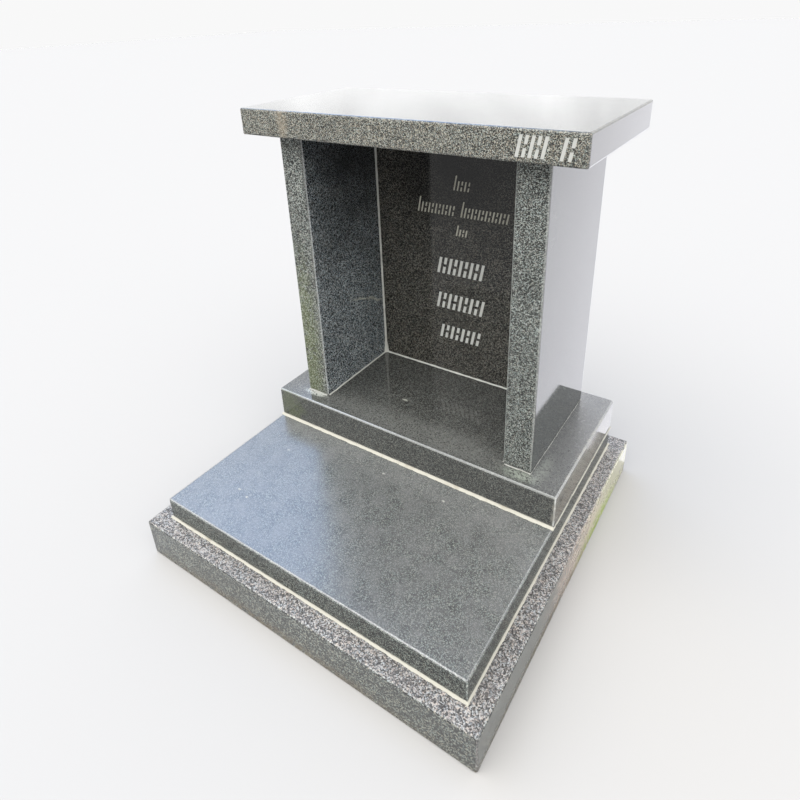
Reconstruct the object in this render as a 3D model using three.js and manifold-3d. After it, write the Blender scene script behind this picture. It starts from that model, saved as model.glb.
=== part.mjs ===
import * as THREE from "three";
import { mergeVertices } from "three/addons/utils/BufferGeometryUtils.js";
import Module from "manifold-3d";

// A small granite memorial for an ashes plot. Two pillars and a cap stand round an inscribed panel on a base,
// with a ledger and a sub-base below. Millimetres, +Z up, the front faces -Y. The origin is the centre of the
// sub-base's underside.

const wasm = await Module();
wasm.setup();

// Driving dimensions of the stones
const PLOT_WIDTH = 610; // 24 inches: the cap, the base and the ledger are all this wide
const CLEARANCE = 0.3; // left between pieces that touch
const ARRIS = 3; // eased edge of every slab
const ARRIS_STEPS = 2;

const SUB_BASE_MARGIN = 32; // stands out round the ledger
const SUB_BASE_HEIGHT = 76;
const LEDGER_HEIGHT = 42;
const BASE_DEPTH = 313;
const BASE_HEIGHT = 63;
const PILLAR_WIDTH = 51.4;
const PILLAR_DEPTH = 254;
const PILLAR_HEIGHT = 529;
const PILLAR_SETBACK = 31.7; // pillar's front behind the base's front
const NICHE_WIDTH = 393.6; // between the pillars
const NICHE_DEPTH = 209.4; // from the pillars' front to the panel
const CAP_DEPTH = 300;
const CAP_HEIGHT = 45;
const CAP_SETBACK = 2; // cap's front behind the base's front

// Mortar and sealant
const LEDGER_JOINT = 1.5; // bed under the ledger
const BASE_JOINT = 3; // bed under the base
const BED_EDGE = 1; // a bed ends this far behind the stone's face, or in front of it under a fillet
const LEDGER_BEAD = 4.5; // leg of each fillet of mortar or sealant
const BASE_BEAD = 5;
const NICHE_BEAD = 3.4;
const PILLAR_BEAD = 2.4;
const BEAD_STEP = 14; // length of bead between two sections
const BEAD_SWELL = 0.16; // how much a bead swells and shrinks, as a share of its leg
const CORNER_FLARE = { left: 6.5, right: 2 }; // widening of the upright beads at the niche's floor
const FLARE_LENGTH = 17;

// Inscription, as rows of leaning strokes
const STROKE_LEAN = 0.2; // sideways over upwards
const STROKE_DEPTH = 1.2;
const CUTTER_PROUD = 1; // a cutter starts this far in front of the face
const WORD_GAP = 9;
const WHOLE = [[0, 1]]; // the parts of a stroke, as shares of the row's height
const LOW = [[0, 0.66]];
const LOW_HALVES = [[0, 0.27], [0.39, 0.66]];
const HALVES = [[0, 0.42], [0.58, 1]];
const FINE = { width: 3.4, pitch: 7.4, first: WHOLE, rest: [LOW, LOW_HALVES] };
const BOLD = { width: 6.4, pitch: 11.8, first: WHOLE, rest: [HALVES, WHOLE] };
const NARROW = { width: 5.2, pitch: 9.6, first: WHOLE, rest: [HALVES, WHOLE] };
const PANEL_ROWS = [
  { words: [39], foot: 404, height: 29, centre: 0, style: FINE },
  { words: [87, 104], foot: 353, height: 31, centre: 0, style: FINE },
  { words: [28], foot: 314, height: 22, centre: 0, style: FINE },
  { words: [108], foot: 229, height: 35, centre: -3, style: BOLD },
  { words: [112], foot: 151, height: 35, centre: -3, style: BOLD },
  { words: [97], foot: 81, height: 31, centre: -3, style: BOLD },
];
const CAP_MARK = { words: [46.5, 21.5], gap: 14.4, left: 206.3, foot: 7.5, height: 29.5, style: NARROW };

// Levels and places worked out from them
const SUB_BASE_WIDTH = PLOT_WIDTH + 2 * SUB_BASE_MARGIN;
const LEDGER_FOOT = SUB_BASE_HEIGHT + LEDGER_JOINT;
const LEDGER_TOP = LEDGER_FOOT + LEDGER_HEIGHT;
const BASE_FOOT = LEDGER_TOP + BASE_JOINT;
const BASE_TOP = BASE_FOOT + BASE_HEIGHT;
const PILLAR_FOOT = BASE_TOP + CLEARANCE;
const CAP_FOOT = PILLAR_FOOT + PILLAR_HEIGHT + CLEARANCE;
const BASE_FRONT = PLOT_WIDTH / 2 - BASE_DEPTH; // the base and the ledger end flush at the back
const PILLAR_FRONT = BASE_FRONT + PILLAR_SETBACK;
const PILLAR_BACK = PILLAR_FRONT + PILLAR_DEPTH;
const PANEL_FRONT = PILLAR_FRONT + NICHE_DEPTH;
const PANEL_WIDTH = NICHE_WIDTH - 2 * CLEARANCE;
const PANEL_THICKNESS = PILLAR_BACK - PANEL_FRONT;
const CAP_FRONT = BASE_FRONT + CAP_SETBACK;

const FRONT = new THREE.Vector3(0, -1, 0);
const BACK = new THREE.Vector3(0, 1, 0);
const LEFT = new THREE.Vector3(-1, 0, 0);
const RIGHT = new THREE.Vector3(1, 0, 0);
const UP = new THREE.Vector3(0, 0, 1);

const polishedGranite = { color: 0x4b4f50, roughness: 0.12, metalness: 0 };
const blackGranite = { color: 0x232324, roughness: 0.08, metalness: 0 };
const sawnGranite = { color: 0x6a6967, roughness: 0.5, metalness: 0 };
const mortar = { color: 0xdedac4, roughness: 0.85, metalness: 0 };
const sealant = { color: 0xdfe0d8, roughness: 0.45, metalness: 0 };

// A closed mesh as a manifold solid, for joining and cutting
function toSolid(geometry) {
  const bare = geometry.clone();
  bare.deleteAttribute("normal");
  bare.deleteAttribute("uv");
  const welded = mergeVertices(bare);
  return new wasm.Manifold(
    new wasm.Mesh({
      numProp: 3,
      vertProperties: welded.attributes.position.array,
      triVerts: new Uint32Array(welded.index.array),
    }),
  );
}

function toGeometry(solid) {
  const mesh = solid.getMesh();
  const geometry = new THREE.BufferGeometry();
  geometry.setAttribute("position", new THREE.BufferAttribute(mesh.vertProperties, 3));
  geometry.setIndex(new THREE.BufferAttribute(mesh.triVerts, 1));
  geometry.computeVertexNormals();
  return geometry;
}

function fuse(geometries) {
  return toGeometry(geometries.map(toSolid).reduce((whole, piece) => whole.add(piece)));
}

function engrave(geometry, cutters) {
  return toGeometry(toSolid(geometry).subtract(toSolid(fuse(cutters))));
}

// A slab with eased edges, centred in plan, standing on its underside
function slab(width, depth, height) {
  const corner = ARRIS + 1;
  const x = width / 2 - corner;
  const y = depth / 2 - corner;
  const plan = new THREE.Shape();
  plan.absarc(x, -y, corner, -Math.PI / 2, 0);
  plan.absarc(x, y, corner, 0, Math.PI / 2);
  plan.absarc(-x, y, corner, Math.PI / 2, Math.PI);
  plan.absarc(-x, -y, corner, Math.PI, 1.5 * Math.PI);
  plan.closePath();
  const body = new THREE.ExtrudeGeometry(plan, {
    depth: height - 2 * ARRIS,
    curveSegments: ARRIS_STEPS,
    bevelSegments: ARRIS_STEPS,
    bevelSize: ARRIS,
    bevelThickness: ARRIS,
    bevelOffset: -ARRIS,
  });
  return body.translate(0, 0, ARRIS);
}

// A thin bed of mortar from its front to its back, clear of the stones above and below
function bed(width, front, back, joint) {
  const plate = new THREE.BoxGeometry(width, back - front, joint - 2 * CLEARANCE);
  return plate.translate(0, (front + back) / 2, joint / 2);
}

// A hollow fillet of mortar or sealant in the corner of two faces, given by their normals. It starts at a
// point in the corner, runs along the cross product of the normals, and swells and shrinks on its way.
function bead(start, length, leg, normals, flare = 0) {
  const hollow = leg * 0.42;
  const section = new THREE.Shape();
  section.moveTo(0, 0);
  section.lineTo(leg, 0);
  section.quadraticCurveTo(hollow, hollow, 0, leg);
  section.closePath();
  const run = new THREE.ExtrudeGeometry(section, {
    depth: length,
    steps: Math.ceil(length / BEAD_STEP),
    curveSegments: 2,
    bevelEnabled: false,
  });
  const place = run.attributes.position;
  for (let i = 0; i < place.count; i++) {
    const along = place.getZ(i);
    const wave = Math.sin(along / 23 + leg) * 0.6 + Math.sin(along / 9.7 + 2 * leg) * 0.4;
    const size = 1 + BEAD_SWELL * wave + (flare / leg) * Math.exp(-along / FLARE_LENGTH);
    place.setXY(i, place.getX(i) * size + CLEARANCE, place.getY(i) * size + CLEARANCE);
  }
  const [first, second] = normals;
  const frame = new THREE.Matrix4().makeBasis(first, second, first.clone().cross(second));
  return run.applyMatrix4(frame.setPosition(...start));
}

// The cutter of one leaning stroke in a face at y = 0, from one height to another above the row's foot
function strokeCutter(left, foot, width, from, to) {
  const bar = new THREE.Shape();
  bar.moveTo(left + from * STROKE_LEAN, from);
  bar.lineTo(left + from * STROKE_LEAN + width, from);
  bar.lineTo(left + to * STROKE_LEAN + width, to);
  bar.lineTo(left + to * STROKE_LEAN, to);
  bar.closePath();
  const cutter = new THREE.ExtrudeGeometry(bar, { depth: STROKE_DEPTH + CUTTER_PROUD, bevelEnabled: false });
  return cutter.rotateX(Math.PI / 2).translate(0, STROKE_DEPTH, foot);
}

function wordCutters(left, across, foot, height, style) {
  const reach = across - STROKE_LEAN * height - style.width;
  const spaces = Math.max(1, Math.round(reach / style.pitch));
  const cutters = [];
  for (let i = 0; i <= spaces; i++) {
    const x = left + (reach * i) / spaces;
    const parts = i === 0 ? style.first : style.rest[(i - 1) % style.rest.length];
    for (const [from, to] of parts) {
      cutters.push(strokeCutter(x, foot, style.width, from * height, to * height));
    }
  }
  return cutters;
}

// The cutters of a whole row of words, from its left end
function rowCutters({ words, foot, height, style }, left, gap) {
  const cutters = [];
  let x = left;
  for (const across of words) {
    cutters.push(...wordCutters(x, across, foot, height, style));
    x += across + gap;
  }
  return cutters;
}

function inscribedPanel() {
  const cutters = PANEL_ROWS.flatMap((row) => {
    const across = row.words.reduce((sum, word) => sum + word + WORD_GAP, -WORD_GAP);
    return rowCutters(row, row.centre - across / 2, WORD_GAP);
  });
  const face = -PANEL_THICKNESS / 2;
  return engrave(
    slab(PANEL_WIDTH, PANEL_THICKNESS, PILLAR_HEIGHT),
    cutters.map((cutter) => cutter.translate(0, face, 0)),
  );
}

function markedCap() {
  const cutters = rowCutters(CAP_MARK, CAP_MARK.left, CAP_MARK.gap);
  const face = -CAP_DEPTH / 2;
  return engrave(
    slab(PLOT_WIDTH, CAP_DEPTH, CAP_HEIGHT),
    cutters.map((cutter) => cutter.translate(0, face, 0)),
  );
}

// The bed under the ledger with the mortar pointed round its foot
function ledgerMortar() {
  const half = PLOT_WIDTH / 2;
  const edge = half + BED_EDGE;
  const reach = half + LEDGER_BEAD;
  const length = 2 * reach;
  return fuse([
    bed(2 * edge, -edge, edge, LEDGER_JOINT),
    bead([reach, -half, 0], length, LEDGER_BEAD, [FRONT, UP]),
    bead([half, reach, 0], length, LEDGER_BEAD, [RIGHT, UP]),
    bead([-reach, half, 0], length, LEDGER_BEAD, [BACK, UP]),
    bead([-half, -reach, 0], length, LEDGER_BEAD, [LEFT, UP]),
  ]);
}

// The bed under the base with the thick fillet of mortar along its front
function baseMortar() {
  const front = -BASE_DEPTH / 2;
  const across = PLOT_WIDTH - 2 * BED_EDGE;
  return fuse([
    bed(across, front - BED_EDGE, BASE_DEPTH / 2 - BED_EDGE, BASE_JOINT),
    bead([across / 2, front, 0], across, BASE_BEAD, [FRONT, UP]),
  ]);
}

// One run of sealant round the niche: along its three sides on the base and up the panel's two corners
function nicheSealant() {
  const x = NICHE_WIDTH / 2;
  const upright = PILLAR_HEIGHT - CLEARANCE;
  return fuse([
    bead([x, 0, 0], NICHE_WIDTH - CLEARANCE, NICHE_BEAD, [FRONT, UP]),
    bead([-x, 0, 0], NICHE_DEPTH - ARRIS, NICHE_BEAD, [RIGHT, UP]),
    bead([x, ARRIS - NICHE_DEPTH, 0], NICHE_DEPTH - ARRIS - CLEARANCE, NICHE_BEAD, [LEFT, UP]),
    bead([-x, 0, 0], upright, NICHE_BEAD, [FRONT, RIGHT], CORNER_FLARE.left),
    bead([x, 0, 0], upright, NICHE_BEAD, [LEFT, FRONT], CORNER_FLARE.right),
  ]);
}

// Sealant round the front, the outer side and the back of a pillar's foot. Side is -1 on the left.
function pillarSealant(side) {
  const half = PILLAR_WIDTH / 2;
  const front = -PILLAR_DEPTH / 2;
  const along = PILLAR_DEPTH + 2 * PILLAR_BEAD;
  const outer =
    side < 0
      ? bead([-half, front - PILLAR_BEAD, 0], along, PILLAR_BEAD, [LEFT, UP])
      : bead([half, -front + PILLAR_BEAD, 0], along, PILLAR_BEAD, [RIGHT, UP]);
  const near = side < 0 ? half - ARRIS : half + PILLAR_BEAD;
  const across = PILLAR_WIDTH + PILLAR_BEAD - ARRIS;
  return fuse([
    bead([near, front, 0], across, PILLAR_BEAD, [FRONT, UP]),
    outer,
    bead([near - across, -front, 0], across, PILLAR_BEAD, [BACK, UP]),
  ]);
}

const headstone = new THREE.Group();

function place(name, geometry, finish, x, y, z) {
  const mesh = new THREE.Mesh(geometry, new THREE.MeshStandardMaterial(finish));
  mesh.name = name;
  mesh.position.set(x, y, z);
  headstone.add(mesh);
}

const subBase = slab(SUB_BASE_WIDTH, SUB_BASE_WIDTH, SUB_BASE_HEIGHT);
place("sub_base", subBase, sawnGranite, 0, 0, 0);
place("ledger_mortar", ledgerMortar(), mortar, 0, 0, SUB_BASE_HEIGHT);
place("ledger", slab(PLOT_WIDTH, PLOT_WIDTH, LEDGER_HEIGHT), polishedGranite, 0, 0, LEDGER_FOOT);

const baseMiddle = BASE_FRONT + BASE_DEPTH / 2;
place("base_mortar", baseMortar(), mortar, 0, baseMiddle, LEDGER_TOP);
place("base", slab(PLOT_WIDTH, BASE_DEPTH, BASE_HEIGHT), polishedGranite, 0, baseMiddle, BASE_FOOT);

const pillarMiddle = PILLAR_FRONT + PILLAR_DEPTH / 2;
for (const [word, side] of [["left", -1], ["right", 1]]) {
  const x = (side * (NICHE_WIDTH + PILLAR_WIDTH)) / 2;
  const pillar = slab(PILLAR_WIDTH, PILLAR_DEPTH, PILLAR_HEIGHT);
  place(word + "_pillar", pillar, polishedGranite, x, pillarMiddle, PILLAR_FOOT);
  place(word + "_pillar_sealant", pillarSealant(side), sealant, x, pillarMiddle, BASE_TOP);
}

const panelMiddle = PANEL_FRONT + PANEL_THICKNESS / 2;
place("inscription_panel", inscribedPanel(), blackGranite, 0, panelMiddle, PILLAR_FOOT);
place("niche_sealant", nicheSealant(), sealant, 0, PANEL_FRONT, BASE_TOP);
place("cap", markedCap(), polishedGranite, 0, CAP_FRONT + CAP_DEPTH / 2, CAP_FOOT);

export default headstone;
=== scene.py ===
"""A small granite memorial for an ashes plot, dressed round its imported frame.

The stones keep the frame's meshes and get their granite here. The mortar, the sealant and the paint in
the cut strokes are modelled here. Metres, +Z up, and the front faces -Y, as in the frame.
"""

import logging
import math
from dataclasses import dataclass
from enum import Enum

import bpy
from bpy.types import Material, Node, NodeSocket, NodeTree, Object
from mathutils import Matrix, Vector, noise

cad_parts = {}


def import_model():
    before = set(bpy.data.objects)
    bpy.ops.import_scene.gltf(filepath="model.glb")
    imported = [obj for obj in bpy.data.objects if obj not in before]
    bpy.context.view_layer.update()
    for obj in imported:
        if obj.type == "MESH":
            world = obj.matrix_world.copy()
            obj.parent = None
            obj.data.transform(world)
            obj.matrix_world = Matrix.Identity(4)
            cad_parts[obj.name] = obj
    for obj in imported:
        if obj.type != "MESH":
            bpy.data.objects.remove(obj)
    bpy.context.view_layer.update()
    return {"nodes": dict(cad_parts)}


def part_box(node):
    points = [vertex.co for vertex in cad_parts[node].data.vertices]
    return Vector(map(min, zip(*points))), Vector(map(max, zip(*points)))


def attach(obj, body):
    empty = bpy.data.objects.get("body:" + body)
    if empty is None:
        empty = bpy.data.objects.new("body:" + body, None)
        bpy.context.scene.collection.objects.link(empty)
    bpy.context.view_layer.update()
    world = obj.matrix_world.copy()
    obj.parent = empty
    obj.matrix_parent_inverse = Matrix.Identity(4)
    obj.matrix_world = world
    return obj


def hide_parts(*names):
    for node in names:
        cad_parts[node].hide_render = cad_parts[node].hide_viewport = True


LOG = logging.getLogger("headstone")
MM = 0.001
BODY = "root"
MIX_FACTOR, MIX_A, MIX_B, MIX_RESULT = 0, 6, 7, 2  # the sockets of a Mix node for colours
MIX_LOW, MIX_HIGH = 2, 3  # and those for numbers
NOISE_RANGE = {"From Min": 0.3, "From Max": 0.7}  # nearly all of a noise texture's values
TURNED, SQUARE = 0.80, 0.97  # cosines: a face starts to count as looking a way, and counts in full
EDGE_MM, EDGE_PUSH_MM = 1.7, 0.6  # the wobble of a grain's edge and how far it goes
SMALL_GRAIN, SMALL_SHARE = 0.5, 0.36  # the small grains' size against the large ones', and their say
CLOUD_MM, DRIFT = 90, 0.12  # size of the clouds in the stone's tone, and how far it drifts
DROP_MM, THIN_FILM, THICK_FILM = 26, 0.6, 1.3  # dried raindrops, and the film in and between them
POLISHED_TOOTH, DULL_TOOTH = 0.012, 0.22  # how far the grain stands out on each finish
CLEAN_AT, DIRTY_AT, DIRTIEST = 0.72, 0.85, 0.9  # where a noise turns paste dirty, and how far
PAINT_BEVEL = 0.25 * MM
PILLAR_ARRIS = 3.0  # sealant stops this short of a pillar's front corners, in millimetres

Triple = tuple[float, float, float]
Minerals = tuple[tuple[float, str], ...]
Faces = list[tuple[int, ...]]
QUARRY_POLISHED = ((0, "#060707"), (0.30, "#131617"), (0.50, "#272c2c"), (0.70, "#454a4a"), (0.90, "#777b75"))
QUARRY_HONED = ((0, "#040404"), (0.28, "#101212"), (0.48, "#2d3131"), (0.65, "#646a69"), (0.82, "#bdc1bc"))


class Polish(Enum):
    """How far a stone's faces are worked."""

    MIRROR = "every face polished"
    HONED_FRONT = "the front left honed, the other faces polished"
    SAWN_TOP = "the top left sawn, the sides rubbed smooth"


def linear(hex_colour: str) -> tuple[float, float, float, float]:
    """Turns an sRGB colour into the linear values that a shader takes.

    Args:
        hex_colour: Six hexadecimal digits after a #.

    Returns:
        Red, green, blue and an alpha of 1, linear.
    """
    channels = (int(hex_colour[i : i + 2], 16) / 255 for i in (1, 3, 5))
    return (*(c / 12.92 if c <= 0.04045 else ((c + 0.055) / 1.055) ** 2.4 for c in channels), 1.0)


def add(tree: NodeTree, kind: str, feeds: dict | None = None, **settings: object) -> Node:
    """Adds a node with its settings, and fills or links its inputs.

    Args:
        tree: The node tree.
        kind: The node's type name.
        feeds: Values or sockets by the input's name or number.
        **settings: The node's own properties. stops holds a colour ramp's places and hex colours.

    Returns:
        The new node.
    """
    made = tree.nodes.new(kind)
    stops = settings.pop("stops", None)
    for name, value in settings.items():
        setattr(made, name, value)
    for key, value in (feeds or {}).items():
        if isinstance(value, NodeSocket):
            tree.links.new(value, made.inputs[key])
        else:
            made.inputs[key].default_value = value
    if stops:
        marks = made.color_ramp.elements
        while len(marks) < len(stops):
            marks.new(0.5)
        for mark, (place, colour) in zip(marks, stops, strict=True):
            mark.position, mark.color = place, linear(colour)
    return made


def blank(name: str) -> tuple[Material, NodeTree, NodeSocket]:
    """Starts a material whose pattern is worked out in millimetres on the piece.

    Args:
        name: The material's name.

    Returns:
        The material, its empty tree and the place on the piece in millimetres.
    """
    material = bpy.data.materials.new(name)
    material.use_nodes = True
    tree = material.node_tree
    tree.nodes.clear()
    place = add(tree, "ShaderNodeTexCoord").outputs["Object"]
    mm = add(tree, "ShaderNodeVectorMath", {0: place, "Scale": 1 / MM}, operation="SCALE").outputs[0]
    return material, tree, mm


def looking(tree: NodeTree, axis: str, start: float, full: float) -> NodeSocket:
    """Masks the faces that look along an axis.

    Args:
        tree: The material's tree.
        axis: X, Y or Z.
        start: The normal's part along the axis at which the mask starts. Below 0 it looks the other way.
        full: The part at which it is 1.

    Returns:
        The mask.
    """
    normal = add(tree, "ShaderNodeNewGeometry").outputs["Normal"]
    part = add(tree, "ShaderNodeSeparateXYZ", {0: normal}).outputs[axis]
    return add(tree, "ShaderNodeMapRange", {"Value": part, "From Min": start, "From Max": full}).outputs[0]


@dataclass(frozen=True)
class Patch:
    """A soft-edged patch on a stone: damp, dirt, growth or smeared sealant, and in some places painted shade
    or a painted reflection.

    Attributes:
        colour: The colour it leans to.
        centre_mm: Its middle in the frame.
        reach_mm: How far it reaches along each axis.
        strength: How much it covers at its middle, up to 1.
        breakup_mm: Size of the holes and fingers in it.
        roughness: Roughness of what lies on the stone.
        gap: How much of it the holes take, from 0 to 1. Below 0 there are none.
        ragged: How far its outline goes in and out, as a share of its reach.
        fade: How much of its reach its soft edge takes.
        facing: The axis along which the faces look that it lies on, or nothing for all faces.
    """

    colour: str
    centre_mm: Triple
    reach_mm: Triple
    strength: float
    breakup_mm: float = 14.0
    roughness: float = 0.5
    gap: float = 0.4
    ragged: float = 1.6
    fade: float = 0.65
    facing: str = ""


@dataclass(frozen=True)
class Granite:
    """Dark speckled granite: black mica, grey quartz and pale feldspar in grains of a few millimetres.

    Polishing deepens the colours and gives a mirror. A honed face of the same stone is paler and dull.

    Attributes:
        name: The material's name.
        polish: Which faces are polished.
        polished: The minerals' colours under polish, each with the share at which it ends.
        honed: The same on a honed face.
        grain_mm: Size of the larger grains.
        gloss: Roughness of a polished face.
        dull: Roughness of a honed or sawn face.
        index: Refractive index. The wax on polished stone mirrors more than the bare stone would.
        dull_index: The bare stone's own, on a honed or sawn face.
        film: How much a thin film of dust veils the faces that look up.
        film_colour: The dust's colour.
        bluish: The cast of the coolest grains.
        buff: The cast of the warmest grains.
        tone: How light this stone is against the others from the same quarry.
        inner: How much lighter the face to the right is painted than the other polished ones, as painted
            light, or None.
        arris: How pale the edges are painted, from 0 to 1: partly rubbed stone, partly a painted highlight.
        arris_colour: The colour of that pale edge line.
        patches: What has settled on the stone, and the shade and reflections painted on it.
        vein_mm: The middle of a short pale vein in the stone, or None.
    """

    name: str
    polish: Polish
    polished: Minerals = QUARRY_POLISHED
    honed: Minerals = QUARRY_HONED
    grain_mm: float = 1.25
    gloss: float = 0.05
    dull: float = 0.55
    index: float = 1.8
    dull_index: float = 1.45
    film: float = 0.0
    film_colour: str = "#6a6a69"
    bluish: tuple[float, float, float, float] = (0.90, 1.01, 1.05, 1.0)
    buff: tuple[float, float, float, float] = (1.07, 0.99, 0.93, 1.0)
    tone: float = 1.0
    inner: Triple | None = None
    arris: float = 0.0
    arris_colour: str = "#9b9e9b"
    patches: tuple[Patch, ...] = ()
    vein_mm: Triple | None = None

    def build(self) -> Material:
        """Makes the material.

        Returns:
            The new material.
        """
        material, tree, mm = blank(self.name)
        grain, warmth = self.grain(tree, mm)
        dull, arris = self.wear_and_highlight_masks(tree)
        worn_and_highlit = add(tree, "ShaderNodeMath", {0: dull, 1: arris}, operation="MAXIMUM").outputs[0]
        colour = self.clouds(tree, mm, self.minerals(tree, grain, warmth, worn_and_highlit))
        # The edges are painted paler: partly bruised stone, partly a painted highlight.
        if self.arris:
            edge_wear_and_highlight = add(tree, "ShaderNodeMath", {0: arris, 1: self.arris}, operation="MULTIPLY").outputs[0]
            feeds = {MIX_FACTOR: edge_wear_and_highlight, MIX_A: colour, MIX_B: linear(self.arris_colour)}
            colour = add(tree, "ShaderNodeMix", feeds, data_type="RGBA").outputs[MIX_RESULT]
        feeds = {"Value": worn_and_highlit, "To Min": self.gloss, "To Max": self.dull}
        rough = add(tree, "ShaderNodeMapRange", feeds).outputs[0]
        if self.film:
            colour = self.veil(tree, mm, colour)
        # Painted light: the face to the right is made lighter.
        if self.inner:
            colour = self.paint_light_on_right_face(tree, colour)
        if self.vein_mm:
            colour = self.vein(tree, mm, grain, colour)
        for patch in self.patches:
            colour, rough = self.cover(tree, mm, patch, colour, rough)
        # Polish hides the grain's relief. A dull face keeps a fine, even tooth and mirrors less.
        tooth, index = POLISHED_TOOTH, self.index
        if self.polish is not Polish.MIRROR:
            tooth, index = (
                add(tree, "ShaderNodeMapRange", {"Value": dull, "To Min": least, "To Max": most}).outputs[0]
                for least, most in ((tooth, DULL_TOOTH), (index, self.dull_index))
            )
        feeds = {"Strength": tooth, "Distance": 0.5 * MM, "Height": grain}
        bump = add(tree, "ShaderNodeBump", feeds).outputs[0]
        feeds = {"Base Color": colour, "Roughness": rough, "Normal": bump, "IOR": index}
        shader = add(tree, "ShaderNodeBsdfPrincipled", feeds).outputs[0]
        add(tree, "ShaderNodeOutputMaterial", {"Surface": shader})
        return material

    def grain(self, tree: NodeTree, mm: NodeSocket) -> tuple[NodeSocket, NodeSocket]:
        """Mixes large and small grains into one number that says which mineral shows.

        Args:
            tree: The material's tree.
            mm: The place on the stone in millimetres.

        Returns:
            A value from 0, black mica, to 1, pale feldspar, and each grain's own warmth from 0 to 1.
        """
        # Grain edges in granite are ragged, so the cells are pushed about by half a millimetre or so.
        ragged = add(tree, "ShaderNodeTexNoise", {"Vector": mm, "Scale": 1 / EDGE_MM, "Detail": 2.0})
        feeds = {0: ragged.outputs["Color"], 1: (EDGE_PUSH_MM,) * 3, 2: mm}
        place = add(tree, "ShaderNodeVectorMath", feeds, operation="MULTIPLY_ADD").outputs[0]
        parts = []
        for size in (self.grain_mm, self.grain_mm * SMALL_GRAIN):
            cells = add(tree, "ShaderNodeTexVoronoi", {"Vector": place, "Scale": 1 / size})
            parts.append(add(tree, "ShaderNodeSeparateColor", {0: cells.outputs["Color"]}).outputs)
        large, small = parts
        feeds = {MIX_FACTOR: SMALL_SHARE, MIX_LOW: large[0], MIX_HIGH: small[0]}
        both = add(tree, "ShaderNodeMix", feeds, data_type="FLOAT").outputs[0]
        # The mean of two even spreads bunches round one half, so it is stretched again.
        feeds = {"Value": both, "From Min": 0.2, "From Max": 0.8}
        return add(tree, "ShaderNodeMapRange", feeds).outputs[0], large[1]

    def wear_and_highlight_masks(self, tree: NodeTree) -> tuple[NodeSocket | float, NodeSocket]:
        """Says which faces are left dull, and where the edges are rubbed and painted with a highlight.

        Args:
            tree: The material's tree.

        Returns:
            A mask of the honed or sawn faces, and one of the edges, rubbed and painted paler.
        """
        dull = 0.0
        if self.polish is Polish.HONED_FRONT:
            dull = looking(tree, "Y", -TURNED, -SQUARE)
        elif self.polish is Polish.SAWN_TOP:
            dull = looking(tree, "Z", TURNED, SQUARE)
        # Polishing leaves the arrises a little bruised, so a thin paler line runs along every edge. The same
        # line is a painted highlight, for the light that the edges catch.
        normal = add(tree, "ShaderNodeNewGeometry").outputs["Normal"]
        sizes = add(tree, "ShaderNodeVectorMath", {0: normal}, operation="ABSOLUTE").outputs[0]
        x, y, z = add(tree, "ShaderNodeSeparateXYZ", {0: sizes}).outputs
        flat = add(tree, "ShaderNodeMath", {0: x, 1: y}, operation="MAXIMUM").outputs[0]
        flat = add(tree, "ShaderNodeMath", {0: flat, 1: z}, operation="MAXIMUM").outputs[0]
        feeds = {"Value": flat, "From Min": 0.95, "From Max": 0.85, "To Max": 0.9}
        return dull, add(tree, "ShaderNodeMapRange", feeds).outputs[0]

    def minerals(self, tree: NodeTree, grain: NodeSocket, warmth: NodeSocket, worn_and_highlit: NodeSocket) -> NodeSocket:
        """Colours the minerals, darker under polish, and each grain from bluish quartz to buff feldspar.

        Args:
            tree: The material's tree.
            grain: Which mineral shows.
            warmth: Each grain's warmth, from 0 to 1.
            worn_and_highlit: 1 where the face is dull, or its edge rubbed and painted with a highlight.

        Returns:
            The stone's colour.
        """
        polished, honed = (
            add(tree, "ShaderNodeValToRGB", {0: grain}, stops=stops).outputs[0]
            for stops in (self.polished, self.honed)
        )
        feeds = {MIX_FACTOR: worn_and_highlit, MIX_A: polished, MIX_B: honed}
        colour = add(tree, "ShaderNodeMix", feeds, data_type="RGBA").outputs[MIX_RESULT]
        feeds = {MIX_FACTOR: warmth, MIX_A: self.bluish, MIX_B: self.buff}
        cast = add(tree, "ShaderNodeMix", feeds, data_type="RGBA").outputs[MIX_RESULT]
        return add(tree, "ShaderNodeVectorMath", {0: colour, 1: cast}, operation="MULTIPLY").outputs[0]

    def clouds(self, tree: NodeTree, mm: NodeSocket, colour: NodeSocket) -> NodeSocket:
        """Lets the stone's tone drift a little over a hand's width, as a quarried block does.

        Args:
            tree: The material's tree.
            mm: The place on the stone in millimetres.
            colour: The stone's colour so far.

        Returns:
            The colour with its tone drifting.
        """
        clouds = add(tree, "ShaderNodeTexNoise", {"Vector": mm, "Scale": 1 / CLOUD_MM, "Detail": 3.0})
        least, most = (1 - DRIFT) * self.tone, (1 + DRIFT) * self.tone
        feeds = {"Value": clouds.outputs[0], **NOISE_RANGE, "To Min": least, "To Max": most}
        tone = add(tree, "ShaderNodeMapRange", feeds).outputs[0]
        return add(tree, "ShaderNodeVectorMath", {0: colour, "Scale": tone}, operation="SCALE").outputs[0]

    def paint_light_on_right_face(self, tree: NodeTree, colour: NodeSocket) -> NodeSocket:
        """Paints the face to the right lighter: painted light on a face that stands in shade.

        Args:
            tree: The material's tree.
            colour: The stone's colour so far.

        Returns:
            The colour with that face lighter.
        """
        painted_lighter = add(tree, "ShaderNodeVectorMath", {0: colour, 1: self.inner}, operation="MULTIPLY")
        feeds = {MIX_FACTOR: looking(tree, "X", TURNED, SQUARE), MIX_A: colour, MIX_B: painted_lighter.outputs[0]}
        return add(tree, "ShaderNodeMix", feeds, data_type="RGBA").outputs[MIX_RESULT]

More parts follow.
